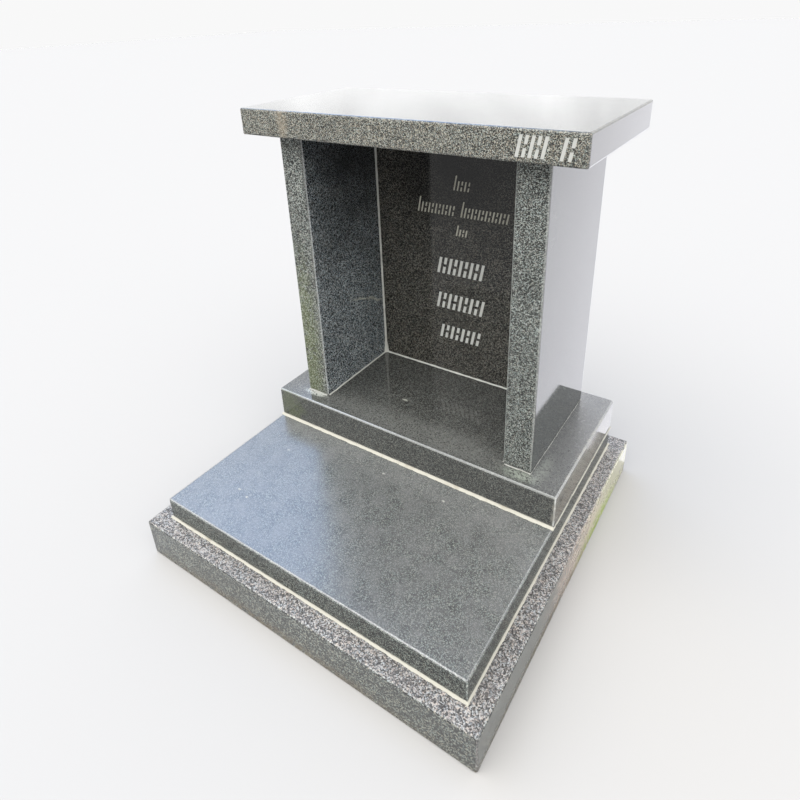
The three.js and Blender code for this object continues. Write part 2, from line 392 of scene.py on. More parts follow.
    def veil(self, tree: NodeTree, mm: NodeSocket, colour: NodeSocket) -> NodeSocket:
        """Lays a thin, uneven film of dust on the faces that look up, where rain dries on the stone.

        Args:
            tree: The material's tree.
            mm: The place on the stone in millimetres.
            colour: The stone's colour so far.

        Returns:
            The colour under the film.
        """
        drops = add(tree, "ShaderNodeTexNoise", {"Vector": mm, "Scale": 1 / DROP_MM, "Detail": 6.0})
        thin, thick = THIN_FILM * self.film, THICK_FILM * self.film
        feeds = {"Value": drops.outputs[0], **NOISE_RANGE, "To Min": thin, "To Max": thick}
        amount = add(tree, "ShaderNodeMapRange", feeds).outputs[0]
        feeds = {0: amount, 1: looking(tree, "Z", 0.5, 0.95)}
        mask = add(tree, "ShaderNodeMath", feeds, operation="MULTIPLY").outputs[0]
        feeds = {MIX_FACTOR: mask, MIX_A: colour, MIX_B: linear(self.film_colour)}
        return add(tree, "ShaderNodeMix", feeds, data_type="RGBA").outputs[MIX_RESULT]

    def vein(self, tree: NodeTree, mm: NodeSocket, grain: NodeSocket, colour: NodeSocket) -> NodeSocket:
        """Draws one thin pale vein that wanders through the stone, broken by its dark grains.

        Args:
            tree: The material's tree.
            mm: The place on the stone in millimetres.
            grain: Which mineral shows.
            colour: The stone's colour so far.

        Returns:
            The colour with the vein in it.
        """
        pale, square, bend_mm, wave_mm = linear("#b3b5ac"), (0.1, 0.35, 0.93), 46.0, 60.0
        wander = add(tree, "ShaderNodeTexNoise", {"Vector": mm, "Scale": 1 / wave_mm, "Detail": 4.0})
        off = add(tree, "ShaderNodeVectorMath", {0: mm, 1: self.vein_mm}, operation="SUBTRACT").outputs[0]
        away = add(tree, "ShaderNodeVectorMath", {0: off, 1: square}, operation="DOT_PRODUCT")
        feeds = {0: wander.outputs[0], 1: bend_mm, 2: away.outputs["Value"]}
        bent = add(tree, "ShaderNodeMath", feeds, operation="MULTIPLY_ADD").outputs[0]
        line = add(tree, "ShaderNodeMath", {0: bent, 1: bend_mm / 2}, operation="SUBTRACT").outputs[0]
        near = add(tree, "ShaderNodeMath", {0: line}, operation="ABSOLUTE").outputs[0]
        feeds = {"Value": near, "From Min": 3.2, "From Max": 0.8, "To Max": 1.4}
        across = add(tree, "ShaderNodeMapRange", feeds).outputs[0]
        apart = add(tree, "ShaderNodeVectorMath", {0: off}, operation="LENGTH").outputs["Value"]
        along = add(tree, "ShaderNodeMapRange", {"Value": apart, "From Min": 78, "From Max": 35}).outputs[0]
        drawn = add(tree, "ShaderNodeMath", {0: across, 1: along}, operation="MULTIPLY").outputs[0]
        mask = add(tree, "ShaderNodeMath", {0: drawn, 1: grain}, operation="MULTIPLY").outputs[0]
        feeds = {MIX_FACTOR: mask, MIX_A: colour, MIX_B: pale}
        return add(tree, "ShaderNodeMix", feeds, data_type="RGBA").outputs[MIX_RESULT]

    def cover(
        self, tree: NodeTree, mm: NodeSocket, patch: Patch, colour: NodeSocket, rough: NodeSocket
    ) -> tuple[NodeSocket, NodeSocket]:
        """Lays one patch over the stone.

        Args:
            tree: The material's tree.
            mm: The place on the stone in millimetres.
            patch: What lies there, or the shade or reflection painted there.
            colour: The colour so far.
            rough: The roughness so far.

        Returns:
            The colour and the roughness with the patch on them.
        """
        off = add(tree, "ShaderNodeVectorMath", {0: mm, 1: patch.centre_mm}, operation="SUBTRACT").outputs[0]
        share = add(tree, "ShaderNodeVectorMath", {0: off, 1: patch.reach_mm}, operation="DIVIDE").outputs[0]
        away = add(tree, "ShaderNodeVectorMath", {0: share}, operation="LENGTH").outputs["Value"]
        feeds = {"Vector": mm, "Scale": 1 / patch.breakup_mm, "Detail": 5.0}
        holes = add(tree, "ShaderNodeTexNoise", feeds).outputs[0]
        # The same noise pushes its outline in and out, so that no patch is a plain oval.
        feeds = {0: holes, 1: patch.ragged, 2: away}
        ragged = add(tree, "ShaderNodeMath", feeds, operation="MULTIPLY_ADD").outputs[0]
        rim = 1 + 0.5 * patch.ragged
        feeds = {"Value": ragged, "From Min": rim, "From Max": rim - patch.fade}
        near = add(tree, "ShaderNodeMapRange", feeds, interpolation_type="SMOOTHSTEP").outputs[0]
        bare, full = 0.3 + 0.3 * patch.gap, 0.45 + 0.3 * patch.gap
        feeds = {"Value": holes, "From Min": bare, "From Max": full}
        broken = add(tree, "ShaderNodeMapRange", feeds).outputs[0]
        both = add(tree, "ShaderNodeMath", {0: near, 1: broken}, operation="MULTIPLY").outputs[0]
        mask = add(tree, "ShaderNodeMath", {0: both, 1: patch.strength}, operation="MULTIPLY").outputs[0]
        if patch.facing:
            feeds = {0: mask, 1: looking(tree, patch.facing, 0.0, 1.0)}
            mask = add(tree, "ShaderNodeMath", feeds, operation="MULTIPLY").outputs[0]
        feeds = {MIX_FACTOR: mask, MIX_A: colour, MIX_B: linear(patch.colour)}
        stained = add(tree, "ShaderNodeMix", feeds, data_type="RGBA").outputs[MIX_RESULT]
        feeds = {MIX_FACTOR: mask, MIX_LOW: rough, MIX_HIGH: patch.roughness}
        return stained, add(tree, "ShaderNodeMix", feeds, data_type="FLOAT").outputs[0]


@dataclass(frozen=True)
class Paste:
    """Mortar, sealant or paint: pale, soft stuff with a fine grit and some dirt in its hollows.

    Attributes:
        name: The material's name.
        colour: Its clean colour.
        dirt: The colour that has settled in it.
        grit_mm: Size of its grains or brush marks.
        grit: How strongly they stand out, as bump.
        roughness: How dull it is.
        dirt_mm: Size of its dirty stretches.
        soiled: How much of it is dirty, from 0 to 1.
    """

    name: str
    colour: str
    dirt: str
    grit_mm: float
    grit: float
    roughness: float
    dirt_mm: float = 22.0
    soiled: float = 0.35

    def build(self) -> Material:
        """Makes the material.

        Returns:
            The new material.
        """
        material, tree, mm = blank(self.name)
        spread = add(tree, "ShaderNodeTexNoise", {"Vector": mm, "Scale": 1 / self.dirt_mm, "Detail": 5.0})
        clean = CLEAN_AT - 0.4 * self.soiled
        feeds = {"Value": spread.outputs[0], "From Min": clean, "From Max": DIRTY_AT, "To Max": DIRTIEST}
        mask = add(tree, "ShaderNodeMapRange", feeds).outputs[0]
        feeds = {MIX_FACTOR: mask, MIX_A: linear(self.colour), MIX_B: linear(self.dirt)}
        colour = add(tree, "ShaderNodeMix", feeds, data_type="RGBA").outputs[MIX_RESULT]
        grit = add(tree, "ShaderNodeTexNoise", {"Vector": mm, "Scale": 1 / self.grit_mm, "Detail": 3.0})
        feeds = {"Strength": self.grit, "Distance": 0.3 * MM, "Height": grit.outputs[0]}
        bump = add(tree, "ShaderNodeBump", feeds).outputs[0]
        feeds = {"Base Color": colour, "Roughness": self.roughness, "Normal": bump}
        shader = add(tree, "ShaderNodeBsdfPrincipled", feeds).outputs[0]
        add(tree, "ShaderNodeOutputMaterial", {"Surface": shader})
        return material


@dataclass(frozen=True)
class Run:
    """One run of mortar or sealant in the corner of two faces.

    Attributes:
        start_mm: Where it starts, in the corner.
        length_mm: How long it is.
        leg_mm: How far it stands out on each face.
        first: The first face's outward normal.
        second: The second face's outward normal. It runs along the cross product of the two.
        flare_mm: How much wider it is at its start.
    """

    start_mm: Vector
    length_mm: float
    leg_mm: float
    first: Vector
    second: Vector
    flare_mm: float = 0.0


@dataclass
class Bead:
    """Mortar or sealant as one body: its runs melt together where they meet.

    Attributes:
        name: The piece's name.
        node: The frame's node that it stands for.
        slot: The record's slot for its finish. Not used.
        runs: The runs that it is made of.
        finish: What it is made of.
        bed_mm: The lowest and highest corners of a bed under the stone, or None.
        step_mm: Length of bead between two sections.
        voxel_mm: Fineness of the melted surface.
        swell: How much each leg wanders, as a share of its size.
        wander_mm: Length of its slow and its quick swellings.
        seat_mm: How far the bead reaches into the joint behind it.
        flare_length_mm: Length over which a flare at a run's start dies away.
        hollow: How far out its face is drawn. At 0.5 it would be flat.
        arc_steps: How many steps its hollow face has.
    """

    name: str
    node: str
    slot: str
    runs: list[Run]
    finish: Paste
    bed_mm: tuple[Vector, Vector] | None = None
    step_mm: float = 2.5
    voxel_mm: float = 0.8
    swell: float = 0.3
    wander_mm: tuple[float, float] = (16.0, 4.5)
    seat_mm: float = 0.4
    flare_length_mm: float = 17.0
    hollow: float = 0.42
    arc_steps: int = 5

    def section(self, run: Run, along: float) -> list[tuple[float, float]]:
        """The hollow outline of a run at one place.

        Args:
            run: The run.
            along: How far along it, in millimetres.

        Returns:
            Points in the plane of the two normals, in millimetres.
        """
        slow, quick = self.wander_mm
        legs = []
        for side in (0, 1):
            # The two legs and each run read the noise at places of their own.
            spot = Vector((along / slow, 7.3 * side + run.leg_mm, run.start_mm.x / 100))
            fine = Vector((along / quick, 3.1 * side, run.start_mm.y / 100))
            wander = noise.noise(spot) + 0.5 * noise.noise(fine)
            flare = run.flare_mm * math.exp(-along / self.flare_length_mm)
            legs.append(run.leg_mm * (1 + self.swell * wander) + flare)
        out, up = legs
        points = [(-self.seat_mm, -self.seat_mm), (out, -self.seat_mm)]
        for i in range(self.arc_steps + 1):
            t = i / self.arc_steps
            bow = 2 * t * (1 - t) * self.hollow
            points.append((out * ((1 - t) ** 2 + bow), up * (t**2 + bow)))
        points.append((-self.seat_mm, up))
        return points

    def loft(self, run: Run) -> tuple[list[Vector], Faces]:
        """Lofts one run as a closed body.

        Args:
            run: The run.

        Returns:
            Its points in metres and its faces.
        """
        steps = max(2, round(run.length_mm / self.step_mm))
        onward = run.first.cross(run.second)
        points, faces = [], []
        for i in range(steps + 1):
            along = run.length_mm * i / steps
            for a, b in self.section(run, along):
                points.append((run.start_mm + run.first * a + run.second * b + onward * along) * MM)
        ring = len(points) // (steps + 1)
        for i in range(steps):
            for j in range(ring):
                k = (j + 1) % ring
                faces.append((i * ring + j, i * ring + k, (i + 1) * ring + k, (i + 1) * ring + j))
        faces.append(tuple(reversed(range(ring))))
        faces.append(tuple(range(steps * ring, (steps + 1) * ring)))
        return points, faces

    def build(self) -> Object:
        """Builds the bead and puts it in its node's place.

        Returns:
            The finished piece.
        """
        points, faces = [], []
        for run in self.runs:
            more, sides = self.loft(run)
            faces += [tuple(i + len(points) for i in side) for side in sides]
            points += more
        piece = put_mesh(self.name, points, faces)
        melt = piece.modifiers.new("melt", "REMESH")
        melt.mode = "VOXEL"
        melt.voxel_size = self.voxel_mm * MM
        melt.use_smooth_shade = True
        settle(piece)
        if self.bed_mm:
            self.fuse_bed(piece)
        piece.data.materials.clear()
        piece.data.materials.append(self.finish.build())
        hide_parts(self.node)
        return carry(piece)

    def fuse_bed(self, piece: Object) -> None:
        """Joins the flat bed to the melted runs. Melted with them, it would be cut far too fine.

        Args:
            piece: The runs.
        """
        bed = put_mesh("bed", *slab(*self.bed_mm))
        union = piece.modifiers.new("union", "BOOLEAN")
        union.operation, union.solver, union.object = "UNION", "MANIFOLD", bed
        settle(piece)
        bpy.data.meshes.remove(bed.data)


def slab(low: Vector, high: Vector) -> tuple[list[Vector], Faces]:
    """A closed box.

    Args:
        low: Its lowest corner in millimetres.
        high: Its highest corner.

    Returns:
        Its points in metres and its faces.
    """
    ends = (low, high)
    points = [Vector((ends[i & 1].x, ends[i >> 1 & 1].y, ends[i >> 2 & 1].z)) * MM for i in range(8)]
    faces = [(0, 2, 3, 1), (4, 5, 7, 6), (0, 1, 5, 4), (2, 6, 7, 3), (0, 4, 6, 2), (1, 3, 7, 5)]
    return points, faces


def put_mesh(name: str, points: list[Vector], faces: Faces) -> Object:
    """Puts an object into the scene, made from points and faces.

    Args:
        name: Its name.
        points: Its points in metres.
        faces: Its faces, as the numbers of their points.

    Returns:
        The new object, at the origin.
    """
    mesh = bpy.data.meshes.new(name)
    mesh.from_pydata(points, [], faces)
    made = bpy.data.objects.new(name, mesh)
    bpy.context.scene.collection.objects.link(made)
    return made


def settle(piece: Object) -> None:
    """Turns a piece's modifiers into plain mesh.

    Args:
        piece: The piece, at the origin and unturned.
    """
    bpy.context.view_layer.update()
    seen = piece.evaluated_get(bpy.context.evaluated_depsgraph_get())
    mesh = bpy.data.meshes.new_from_object(seen)
    piece.modifiers.clear()
    old, piece.data = piece.data, mesh
    bpy.data.meshes.remove(old)
    mesh.name = piece.name


def carry(piece: Object) -> Object:
    """Makes a piece part of the object's one body.

    Args:
        piece: The finished piece.

    Returns:
        The same piece.
    """
    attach(piece, BODY)
    LOG.info("%s: %d faces", piece.name, len(piece.data.polygons))
    return piece


WHOLE = ((0.0, 1.0),)
LOW = ((0.0, 0.66),)
LOW_HALVES = ((0.0, 0.27), (0.39, 0.66))
HALVES = ((0.0, 0.42), (0.58, 1.0))


class Stroke(Enum):
    """The styles of the cut strokes: width and pitch in millimetres, then the parts of each stroke."""

    FINE = (3.4, 7.4, WHOLE, (LOW, LOW_HALVES))
    BOLD = (6.4, 11.8, WHOLE, (HALVES, WHOLE))
    NARROW = (5.2, 9.6, WHOLE, (HALVES, WHOLE))


@dataclass(frozen=True)
class Row:
    """One row of leaning strokes.

    Attributes:
        words_mm: The width of each word.
        foot_mm: Height of the row's foot above the stone's underside.
        height_mm: Height of its tall strokes.
        style: The strokes' style.
        centre_mm: Where its middle is, from the stone's middle.
        gap_mm: Space between words.
    """

    words_mm: tuple[float, ...]
    foot_mm: float
    height_mm: float
    style: Stroke
    centre_mm: float = 0.0
    gap_mm: float = 9.0


@dataclass
class Inscription:
    """Paint in the strokes that are cut into a stone's front.

    Attributes:
        name: The piece's name.
        node: The stone that carries it.
        rows: Its rows.
        paint: What it is painted with.
        lean: Sideways over upwards, as in the cut strokes.
        cut_mm: Depth of the cut strokes.
        fill_mm: Thickness of the paint on their floor.
        margin_mm: How far the paint keeps from their sides.
    """

    name: str
    node: str
    rows: tuple[Row, ...]
    paint: Paste
    lean: float = 0.2
    cut_mm: float = 1.2
    fill_mm: float = 0.85
    margin_mm: float = 0.1

    def bars(self) -> list[tuple[float, float, float, float]]:
        """Works out every bar of paint.

        Returns:
            The left end and the foot of each bar from the stone's middle and underside, before it leans,
            then its width and its height, all in millimetres.
        """
        found = []
        for row in self.rows:
            width, pitch, first, rest = row.style.value
            x = row.centre_mm - (sum(row.words_mm) + row.gap_mm * (len(row.words_mm) - 1)) / 2
            for word in row.words_mm:
                reach = word - self.lean * row.height_mm - width
                spaces = max(1, round(reach / pitch))
                for i in range(spaces + 1):
                    left = x + reach * i / spaces - self.lean * row.foot_mm
                    for low, high in first if i == 0 else rest[(i - 1) % len(rest)]:
                        foot = row.foot_mm + low * row.height_mm
                        found.append((left, foot, width, (high - low) * row.height_mm))
                x += word + row.gap_mm
        return found

    def tree(self) -> NodeTree:
        """Builds the node tree that sets a bar of paint on each point and leans them all.

        Returns:
            The tree, with inputs for the lean and the paint.
        """
        tree = bpy.data.node_groups.new(self.name + "_rows", "GeometryNodeTree")
        for name, way, kind in (
            ("Geometry", "INPUT", "NodeSocketGeometry"),
            ("Lean", "INPUT", "NodeSocketFloat"),
            ("Paint", "INPUT", "NodeSocketMaterial"),
            ("Geometry", "OUTPUT", "NodeSocketGeometry"),
        ):
            tree.interface.new_socket(name, in_out=way, socket_type=kind)
        points, lean, paint = add(tree, "NodeGroupInput").outputs[:3]
        size = add(tree, "GeometryNodeInputNamedAttribute", {"Name": "size"}, data_type="FLOAT_VECTOR")
        bar = add(tree, "GeometryNodeMeshCube", {"Size": (1.0, 1.0, 1.0)}).outputs["Mesh"]
        feeds = {"Points": points, "Instance": bar, "Scale": size.outputs[0]}
        bars = add(tree, "GeometryNodeInstanceOnPoints", feeds).outputs[0]
        real = add(tree, "GeometryNodeRealizeInstances", {"Geometry": bars}).outputs[0]
        place = add(tree, "GeometryNodeInputPosition").outputs[0]
        height = add(tree, "ShaderNodeSeparateXYZ", {0: place}).outputs["Z"]
        sideways = add(tree, "ShaderNodeMath", {0: height, 1: lean}, operation="MULTIPLY").outputs[0]
        shift = add(tree, "ShaderNodeCombineXYZ", {"X": sideways}).outputs[0]
        leaning = add(tree, "GeometryNodeSetPosition", {"Geometry": real, "Offset": shift}).outputs[0]
        painted = add(tree, "GeometryNodeSetMaterial", {"Geometry": leaning, "Material": paint}).outputs[0]
        add(tree, "NodeGroupOutput", {0: painted})
        return tree

    def build(self) -> Object:
        """Builds the paint of every row as one piece.

        Returns:
            The finished piece.
        """
        low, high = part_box(self.node)
        middle = (low.x + high.x) / 2
        depth = low.y + (self.cut_mm - self.fill_mm / 2) * MM
        centres, sizes = [], []
        for left, foot, width, height in self.bars():
            # The tree leans the bars about the stone's underside, at height 0.
            centres.append((middle + (left + width / 2) * MM, depth, (foot + height / 2) * MM))
            tight = 2 * self.margin_mm
            sizes.append(((width - tight) * MM, self.fill_mm * MM, (height - tight) * MM))
        piece = put_mesh(self.name, centres, [])
        record = piece.data.attributes.new("size", "FLOAT_VECTOR", "POINT")
        record.data.foreach_set("vector", [part for size in sizes for part in size])
        paint = self.paint.build()
        rows = piece.modifiers.new("rows", "NODES")
        rows.node_group = self.tree()
        given = {"Lean": self.lean, "Paint": paint}
        for item in rows.node_group.interface.items_tree:
            if item.in_out == "INPUT" and item.name in given:
                rows[item.identifier] = given[item.name]
        rounding = piece.modifiers.new("rounding", "BEVEL")
        rounding.width = PAINT_BEVEL
        rounding.segments = 2
        settle(piece)
        piece.data.transform(Matrix.Translation((0, 0, low.z)))
        return carry(piece)


@dataclass
class Stones:
    """The granite stones, which keep the frame's meshes.

    Attributes:
        finishes: The granite of each node.
        nodes: The frame's objects by node.
    """

    finishes: dict[str, Granite]
    nodes: dict[str, Object]

    def dress(self) -> None:
        """Gives every stone its granite."""
        for name, granite in self.finishes.items():
            stone = self.nodes[name]
            stone.data.materials.clear()
            stone.data.materials.append(granite.build())
            LOG.info("%s: %s", name, granite.polish.value)


@dataclass(frozen=True)
class Fade:
    """A soft change across the sky along one axis.

    Attributes:
        axis: X, Y or Z of the direction that is looked in.
        start: Where it starts.
        end: Where it is complete.
    """

    axis: str
    start: float
    end: float


@dataclass
class Studio:
    """A pale floor under a bright, soft sky.

    The stone is dark, so the picture is exposed for it and the sky is a few times brighter than white.

    Attributes:
        floor_size: Width of the floor.
        floor_colour: Its linear colour. With the sky's light on it, it is as white as shown.
        shown: The background as the camera sees it, linear.
        haze: The sky over the horizon behind the stone.
        clouds: The sky higher up behind the stone.
        blue: The clear patch of sky to the left and behind, which the ledger mirrors.
        ground: The sky over the horizon behind the viewer.
        overhead: The sky above the viewer.
        wisps: How far thin cloud darkens and brightens the sky.
        card: The light of the white card that the stone's right sides mirror.
        card_colour: Its linear colour.
        card_low: The card's lower left corner. It stands behind the stone, along X.
        card_high: Its upper right corner.
    """

    floor_size: float = 60.0
    floor_colour: Triple = (0.2962, 0.2918, 0.2888)
    shown: float = 0.94
    haze: Triple = (1.58, 1.58, 1.6)
    clouds: Triple = (1.65, 1.68, 1.74)
    blue: Triple = (1.72, 2.5, 4.0)
    ground: Triple = (0.65, 0.63, 0.57)
    overhead: Triple = (5.95, 5.9, 5.75)
    wisps: float = 0.16
    card: float = 1.0
    card_colour: Triple = (0.975, 0.97, 1.06)
    card_low: Triple = (0.2, 0.36, 0.0)
    card_high: Triple = (0.8, 0.36, 0.75)

    def build_floor(self) -> None:
        """Lays the floor."""
        half = self.floor_size / 2
        corners = [(-half, -half, 0), (half, -half, 0), (half, half, 0), (-half, half, 0)]
        floor = put_mesh("floor", corners, [(0, 1, 2, 3)])
        material = bpy.data.materials.new("pale_floor")
        material.use_nodes = True
        shader = material.node_tree.nodes["Principled BSDF"]
        shader.inputs["Base Color"].default_value = (*self.floor_colour, 1.0)
        shader.inputs["Roughness"].default_value = 0.9
        shader.inputs["Specular IOR Level"].default_value = 0.0
        floor.data.materials.append(material)

    def build_sky(self) -> None:
        """Makes the sky, as the five parts that the attributes name, blended softly."""
        world = bpy.data.worlds.new("sky")
        bpy.context.scene.world = world
        world.use_nodes = True
        tree = world.node_tree
        tree.nodes.clear()
        way = add(tree, "ShaderNodeTexCoord").outputs["Generated"]
        parts = add(tree, "ShaderNodeSeparateXYZ", {0: way}).outputs
        fades = (Fade("Y", 0.35, -0.35), Fade("Z", 0.2, 0.75), Fade("X", -0.2, -0.5), Fade("Z", 0.52, 0.62))
        masks = []
        for fade in fades:
            feeds = {"Value": parts[fade.axis], "From Min": fade.start, "From Max": fade.end}
            mask = add(tree, "ShaderNodeMapRange", feeds, interpolation_type="SMOOTHSTEP")
            masks.append(mask.outputs[0])
        front, rise, leftward, clear = masks
        patch = add(tree, "ShaderNodeMath", {0: leftward, 1: clear}, operation="MULTIPLY").outputs[0]
        names = ("clouds", "blue", "haze", "ground", "overhead")
        lights = {name: (*getattr(self, name), 1.0) for name in names}
        for name, factor, start, end in (
            ("high", patch, "clouds", "blue"),
            ("behind", rise, "haze", "high"),
            ("ahead", rise, "ground", "overhead"),
            ("sky", front, "behind", "ahead"),
        ):
            feeds = {MIX_FACTOR: factor, MIX_A: lights[start], MIX_B: lights[end]}
            lights[name] = add(tree, "ShaderNodeMix", feeds, data_type="RGBA").outputs[MIX_RESULT]
        feeds = {"Vector": way, "Scale": 4.5, "Detail": 4.0, "Roughness": 0.55, "Distortion": 0.8}
        wisps = add(tree, "ShaderNodeTexNoise", feeds).outputs[0]
        feeds = {"Value": wisps, "From Min": 0.32, "From Max": 0.68}
        feeds |= {"To Min": 1 - self.wisps, "To Max": 1 + self.wisps}
        cover = add(tree, "ShaderNodeMapRange", feeds).outputs[0]
        lit = add(tree, "ShaderNodeBackground", {"Color": lights["sky"], "Strength": cover})
        shown = add(tree, "ShaderNodeBackground", {"Color": (*(self.shown,) * 3, 1.0)})
        seen = add(tree, "ShaderNodeLightPath").outputs["Is Camera Ray"]
        both = add(tree, "ShaderNodeMixShader", {0: seen, 1: lit.outputs[0], 2: shown.outputs[0]})
        add(tree, "ShaderNodeOutputWorld", {"Surface": both.outputs[0]})

    def build_card(self) -> None:
        """Stands a white card behind the stone on the right. Only the polished faces mirror it."""
        low, high = Vector(self.card_low), Vector(self.card_high)
        size = high - low
        data = bpy.data.lights.new("white_card", "AREA")
        data.shape, data.size, data.size_y = "RECTANGLE", size.x, size.z
        data.energy = self.card * math.pi * size.x * size.z
        data.color = self.card_colour
        card = bpy.data.objects.new("white_card", data)
        card.location = (low + high) / 2
        card.rotation_euler = (math.radians(-90), 0, 0)
        card.visible_camera = card.visible_diffuse = card.visible_shadow = False
        bpy.context.scene.collection.objects.link(card)

    def build(self) -> None:
        """Builds the floor, the sky and the card, and shows colours as they are."""
        self.build_floor()
        self.build_sky()
        self.build_card()
        bpy.context.scene.view_settings.view_transform = "Standard"


@dataclass(frozen=True)
class Viewpoint:
    """Where the photograph was taken from: in front, to the right, and a little above the cap.

    Attributes:
        place_mm: The camera's place in the frame.
        turns_deg: Its turns about X, Y and Z.
        lens_mm: Focal length on a 36 mm sensor. The photograph's own is 31.7 mm. This one is shorter, so
            that the corners of the ledger and the sub-base that the photograph cuts off are in the picture.
        shift: How far the picture is moved on the sensor, to the side and up.
    """

    place_mm: Triple = (527.0, -735.0, 900.8)
    turns_deg: Triple = (64.518, 2.219, 33.984)
    lens_mm: float = 27.0
    shift: tuple[float, float] = (0.0, -0.13)

    def build(self) -> None:
        """Sets the camera up."""
        data = bpy.data.cameras.new("viewpoint")
        data.lens, data.sensor_width = self.lens_mm, 36.0
        data.shift_x, data.shift_y = self.shift
        data.clip_start, data.clip_end = 0.01, 100.0
        camera = bpy.data.objects.new("viewpoint", data)
        camera.location = Vector(self.place_mm) * MM
        camera.rotation_euler = [math.radians(turn) for turn in self.turns_deg]
        bpy.context.scene.collection.objects.link(camera)
        bpy.context.scene.camera = camera


FRONT, BACK = Vector((0, -1, 0)), Vector((0, 1, 0))
LEFT, RIGHT = Vector((-1, 0, 0)), Vector((1, 0, 0))
UP = Vector((0, 0, 1))
MORTAR = Paste("lime_mortar", "#99978e", "#7d7668", 1.1, 0.5, 0.85)
SEALANT = Paste("silicone_sealant", "#abaca7", "#82807a", 2.6, 0.12, 0.35, soiled=0.3)
THIN_SEALANT = Paste("smeared_sealant", "#7f807c", "#6a6963", 2.6, 0.12, 0.5, soiled=0.5)
WHITE_PAINT = Paste("white_letter_paint", "#b0b1ae", "#8e8d87", 0.9, 0.4, 0.6)
CAP_PAINT = Paste("weathered_letter_paint", "#a5a6a3", "#85847e", 0.9, 0.4, 0.6)
SILVER_PAINT = Paste("silver_letter_paint", "#a3a196", "#7d7a6f", 0.9, 0.4, 0.45)


def corner(x: float, y: float, z: float) -> Vector:
    """Turns a point of the frame into millimetres.

    Args:
        x: Its place along X, in metres.
        y: Along Y.
        z: Along Z.

    Returns:
        The point in millimetres.
    """
    return Vector((x, y, z)) / MM


def joint_beads() -> list[Bead]:
    """Places every run of mortar and sealant against the stones.

    Returns:
        The beads, not built yet.
    """
    base_low, base_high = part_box("base")
    ledger_low, ledger_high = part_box("ledger")
    panel_low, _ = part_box("inscription_panel")
    left_low, left_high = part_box("left_pillar")
    right_low, right_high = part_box("right_pillar")
    top, inner_left, inner_right = base_high.z, left_high.x, right_low.x
    niche_width = (inner_right - inner_left) / MM
    niche_depth = (panel_low.y - left_low.y) / MM
    upright = (left_high.z - top) / MM
    deep = niche_depth - PILLAR_ARRIS
    # The corner fillets flare where they meet the base, the left one more.
    leg, left_flare, right_flare = 3.2, 6.5, 2.0
    niche = [
        Run(corner(inner_right, panel_low.y, top), niche_width, 2.8, FRONT, UP),
        Run(corner(inner_left, panel_low.y, top), deep, 2.2, RIGHT, UP),
        Run(corner(inner_right, left_low.y + PILLAR_ARRIS * MM, top), deep, 2.2, LEFT, UP),
        Run(corner(inner_left, panel_low.y, top), upright, leg, FRONT, RIGHT, left_flare),
        Run(corner(inner_right, panel_low.y, top), upright, leg, LEFT, FRONT, right_flare),
    ]
    beads = [
        Bead("niche_sealant_bead", "niche_sealant", "sealant", niche, SEALANT),
        pillar_bead("left", left_low, left_high, LEFT, top),
        pillar_bead("right", right_low, right_high, RIGHT, top),
    ]
    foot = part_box("sub_base")[1].z
    # A bed keeps back from three edges. In front it laps into the fillet, so that they are one solid.
    inset, lap, gap = 3.0, 0.2, 0.3
    for name, slab_low, slab_high, level, legs in (
        ("ledger_mortar", ledger_low, ledger_high, foot, (3.2, 2.8, 2.6, 2.6)),
        ("base_mortar", base_low, base_high, ledger_high.z, (4.1, 1.6, 1.2, 1.2)),
    ):
        low, high = slab_low / MM, slab_high / MM
        low.z = high.z = level / MM
        runs = foot_runs(low, high, legs)
        bed_low = low + Vector((inset, lap, -gap))
        bed_high = high + Vector((-inset, -inset, slab_low.z / MM - low.z + gap))
        beads.append(Bead(name + "_joint", name, "mortar", runs, MORTAR, (bed_low, bed_high), swell=0.35))
    return beads


def foot_runs(low: Vector, high: Vector, legs: tuple[float, float, float, float]) -> list[Run]:
    """Runs a fillet round the foot of a slab.

    Args:
        low: The slab's left front corner on the stone below, in millimetres.
        high: Its right back corner there.
        legs: The fillet's size in front, on the right, at the back and on the left.

    Returns:
        The four runs.
    """
    across, along = high.x - low.x, high.y - low.y
    front, right, back, left = legs
    return [
        Run(Vector((high.x + right, low.y, low.z)), across + left + right, front, FRONT, UP),
        Run(Vector((high.x, high.y + back, low.z)), along + front + back, right, RIGHT, UP),
        Run(Vector((low.x - left, high.y, low.z)), across + left + right, back, BACK, UP),
        Run(Vector((low.x, low.y - front, low.z)), along + front + back, left, LEFT, UP),
    ]


def pillar_bead(word: str, low: Vector, high: Vector, outer: Vector, top: float) -> Bead:
    """Places the thin sealant round a pillar's foot, apart from its side in the niche.

    Args:
        word: left or right.
        low: The pillar's lowest corner, in metres.
        high: Its highest corner.
        outer: The normal of its outer side.
        top: Height of the base's top.

    Returns:
        The bead, not built yet.
    """
    leg, thin = (2.6 if outer is LEFT else 1.5), 0.8
    across = (high.x - low.x) / MM - PILLAR_ARRIS
    along = (high.y - low.y) / MM
    near = high.x if outer is RIGHT else high.x - PILLAR_ARRIS * MM
    side = (
        Run(corner(high.x, high.y, top), along, thin, RIGHT, UP)
        if outer is RIGHT
        else Run(corner(low.x, low.y, top), along, thin, LEFT, UP)
    )
    runs = [
        Run(corner(near, low.y, top), across, leg, FRONT, UP),
        side,
        Run(corner(near, high.y, top) - RIGHT * across, across, thin, BACK, UP),
    ]
    name = word + "_pillar_sealant"
    return Bead(name + "_bead", name, "sealant", runs, THIN_SEALANT, voxel_mm=0.6, swell=0.75)


